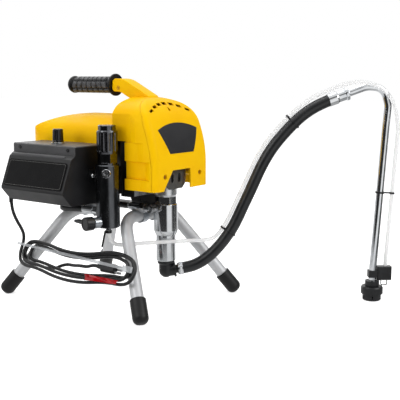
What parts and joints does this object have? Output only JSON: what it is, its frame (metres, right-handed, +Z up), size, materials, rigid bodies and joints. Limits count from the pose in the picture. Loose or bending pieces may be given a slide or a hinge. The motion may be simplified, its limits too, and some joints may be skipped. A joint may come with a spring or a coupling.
{
  "type": "airless paint sprayer",
  "caption": "Electric airless paint sprayer on a tube stand: piston pump, filter manifold, suction set with strainer, control box, carrying handle and coiled mains cord.",
  "frame": {"origin": "on the floor, under the centre of the machine's bounding box without its mains cord", "axes": "+Z up; the pump and the front cover face -Y; the control box is on the -X side; +X to the right seen from the front"},
  "size_m": [0.4967, 0.702, 0.466],
  "materials": {
    "stand_silver": "satin",
    "black_rubber": "matte",
    "black_steel": "satin",
    "zinc_steel": "satin",
    "black_casting": "satin",
    "silver_casting": "satin",
    "bright_steel": "satin",
    "satin_steel": "satin",
    "chrome": "polished",
    "black_plastic": "matte",
    "black_gloss": "gloss",
    "black_anodised": "satin",
    "clear_plastic": "translucent",
    "board_green": "satin",
    "black_pvc": "satin",
    "red_plastic": "gloss",
    "yellow_plastic": "satin",
    "grey_plastic": "matte"
  },
  "bodies": {
    "machine": {"front_leg_tube": "stand_silver", "rear_leg_tube": "stand_silver", "rubber_feet": "black_rubber", "chassis_plate": "black_steel", "rail_clamps": "zinc_steel", "gear_housing": "black_casting", "bearing_housing": "silver_casting", "motor_can": "black_steel", "motor_end_bell": "silver_casting", "shaft_bearings": "bright_steel", "pump_cylinder": "chrome", "packing_nut": "bright_steel", "foot_valve": "satin_steel", "inlet_seat": "bright_steel", "outlet_fitting": "black_steel", "suction_elbow": "black_plastic", "hose_clamp": "bright_steel", "suction_hose": "black_rubber", "hose_sleeve": "chrome", "drop_tube": "chrome", "strainer": "black_plastic", "tube_clip": "black_plastic", "return_tube": "clear_plastic", "cable_ties": "black_plastic", "manifold_body": "black_anodised", "filter_cap": "black_plastic", "filter_element": "bright_steel", "manifold_plug": "bright_steel", "prime_valve_body": "bright_steel", "spray_outlet": "bright_steel", "high_pressure_hose": "black_rubber", "hose_ferrules": "chrome", "control_box": "black_plastic", "control_panel": "black_gloss", "knob_ring": "bright_steel", "power_switch": "black_plastic", "circuit_board": "board_green", "cord_gland": "black_plastic", "power_cord": "black_pvc", "cord_hank": "black_pvc", "power_plug": "black_pvc", "cord_tag": "red_plastic", "mid_housing": "yellow_plastic", "front_cover": "yellow_plastic", "badge_plate": "black_gloss", "rear_shroud": "yellow_plastic", "cover_screws": "bright_steel", "pump_guard": "grey_plastic", "handle_arm": "yellow_plastic", "handle_grip": "black_rubber"},
    "rotor": {"motor_rotor": "bright_steel", "cooling_fan": "black_plastic"},
    "countershaft": {"intermediate_gear": "bright_steel"},
    "crank": {"output_crank": "bright_steel"},
    "piston": {"yoke": "bright_steel", "piston_rod": "chrome"},
    "ball": {"inlet_ball": "chrome"},
    "prime": {"prime_knob": "black_plastic"},
    "knob": {"pressure_knob": "black_plastic"},
    "toggle": {"switch_lever": "chrome"}
  },
  "joints": [
    {"name": "rotor_spin", "type": "hinge", "parent": "machine", "child": "rotor", "pos_m": [-0.057, 0.143, 0.316], "axis": [0, -1, 0], "range_deg": [-1080, 1080]},
    {"name": "countershaft_spin", "type": "hinge", "parent": "machine", "child": "countershaft", "pos_m": [-0.0195, 0.063, 0.316], "axis": [0, -1, 0], "range_deg": [-270, 270]},
    {"name": "crank_spin", "type": "hinge", "parent": "machine", "child": "crank", "pos_m": [-0.057, 0.043, 0.286], "axis": [0, -1, 0], "range_deg": [-90, 90]},
    {"name": "piston_slide", "type": "slide", "parent": "machine", "child": "piston", "axis": [0, 0, 1], "range_m": [-0.008, 0.008]},
    {"name": "inlet_ball_lift", "type": "slide", "parent": "machine", "child": "ball", "axis": [0, 0, 1], "range_m": [0, 0.004]},
    {"name": "prime_valve_turn", "type": "hinge", "parent": "machine", "child": "prime", "pos_m": [-0.20847, 0.08465, 0.178], "axis": [-0.9659, 0.2588, 0], "range_deg": [0, 90]},
    {"name": "pressure_knob_turn", "type": "hinge", "parent": "machine", "child": "knob", "pos_m": [-0.177, 0.198, 0.34], "axis": [0, 0, 1], "range_deg": [-135, 135]},
    {"name": "switch_toggle", "type": "hinge", "parent": "machine", "child": "toggle", "pos_m": [-0.169, 0.111, 0.266], "axis": [1, 0, 0], "range_deg": [0, 40]}
  ],
  "couplings": [
    {"joint": "countershaft_spin", "follows": "rotor_spin", "ratio": -0.25},
    {"joint": "crank_spin", "follows": "rotor_spin", "ratio": 0.083333},
    {"joint": "piston_slide", "follows": "rotor_spin", "m_per_rad": 0.00042441}
  ]
}
